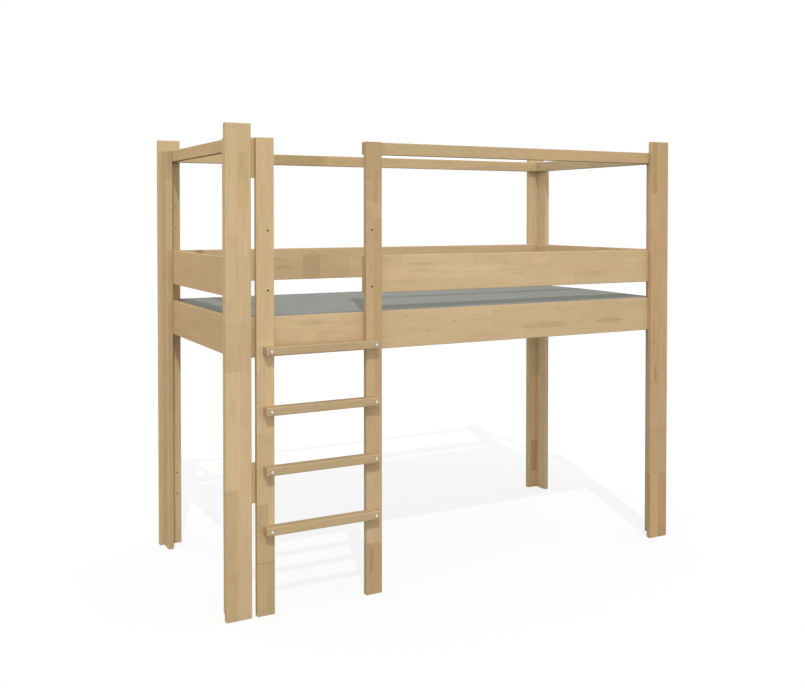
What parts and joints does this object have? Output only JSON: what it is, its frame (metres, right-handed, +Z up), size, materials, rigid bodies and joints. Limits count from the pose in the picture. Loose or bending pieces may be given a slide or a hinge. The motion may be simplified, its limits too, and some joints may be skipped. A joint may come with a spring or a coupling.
{
  "type": "loft play bed",
  "caption": "Half-height wooden play bed with tall corner posts, guard boards, thin top bars, a straight front ladder and a flat grey mattress.",
  "frame": {"origin": "on the floor, under the middle of the whole bed with its rungs", "axes": "+X to the right along the bed, +Y from the ladder side to the back, +Z up"},
  "size_m": [2.146, 1.0464, 1.85],
  "materials": {
    "oiled_beech": "satin oiled",
    "base_timber": "planed, untreated",
    "dowel_beech": "untreated",
    "bright_steel": "bright zinc",
    "zinc_inserts": "dull zinc",
    "mattress_cover": "plain grey woven cover"
  },
  "bodies": {
    "frame": {"bolt_plugs": "dowel_beech", "guard_back": "oiled_beech", "guard_bolts": "bright_steel", "guard_front": "oiled_beech", "guard_left": "oiled_beech", "guard_right": "oiled_beech", "joining_board_high": "oiled_beech", "joining_board_low": "oiled_beech", "joining_bolts": "bright_steel", "ledger_back": "base_timber", "ledger_front": "base_timber", "ledger_screws": "bright_steel", "post_dowels": "dowel_beech", "post_face_back_left": "oiled_beech", "post_face_back_right": "oiled_beech", "post_face_front_left": "oiled_beech", "post_face_front_right": "oiled_beech", "post_inserts": "zinc_inserts", "post_web_back_left": "oiled_beech", "post_web_back_right": "oiled_beech", "post_web_front_left": "oiled_beech", "post_web_front_right": "oiled_beech", "rail_back": "oiled_beech", "rail_bolts": "bright_steel", "rail_front": "oiled_beech", "rail_left": "oiled_beech", "rail_right": "oiled_beech", "rung_1": "oiled_beech", "rung_2": "oiled_beech", "rung_3": "oiled_beech", "rung_4": "oiled_beech", "rung_bolts": "bright_steel", "slat_01": "base_timber", "slat_02": "base_timber", "slat_03": "base_timber", "slat_04": "base_timber", "slat_05": "base_timber", "slat_06": "base_timber", "slat_07": "base_timber", "slat_08": "base_timber", "slat_09": "base_timber", "slat_10": "base_timber", "slat_11": "base_timber", "slat_12": "base_timber", "slat_13": "base_timber", "slat_14": "base_timber", "slat_screws": "bright_steel", "stile_inserts": "zinc_inserts", "stile_left": "oiled_beech", "stile_right": "oiled_beech", "top_bar_back": "oiled_beech", "top_bar_bolts": "bright_steel", "top_bar_front": "oiled_beech", "top_bar_left": "oiled_beech", "top_bar_right": "oiled_beech"},
    "mattress": {"mattress": "mattress_cover"}
  },
  "joints": [
    {"name": "mattress_lift", "type": "slide", "parent": "frame", "child": "mattress", "axis": [0, 0, 1], "range_m": [0, 0.8]}
  ]
}
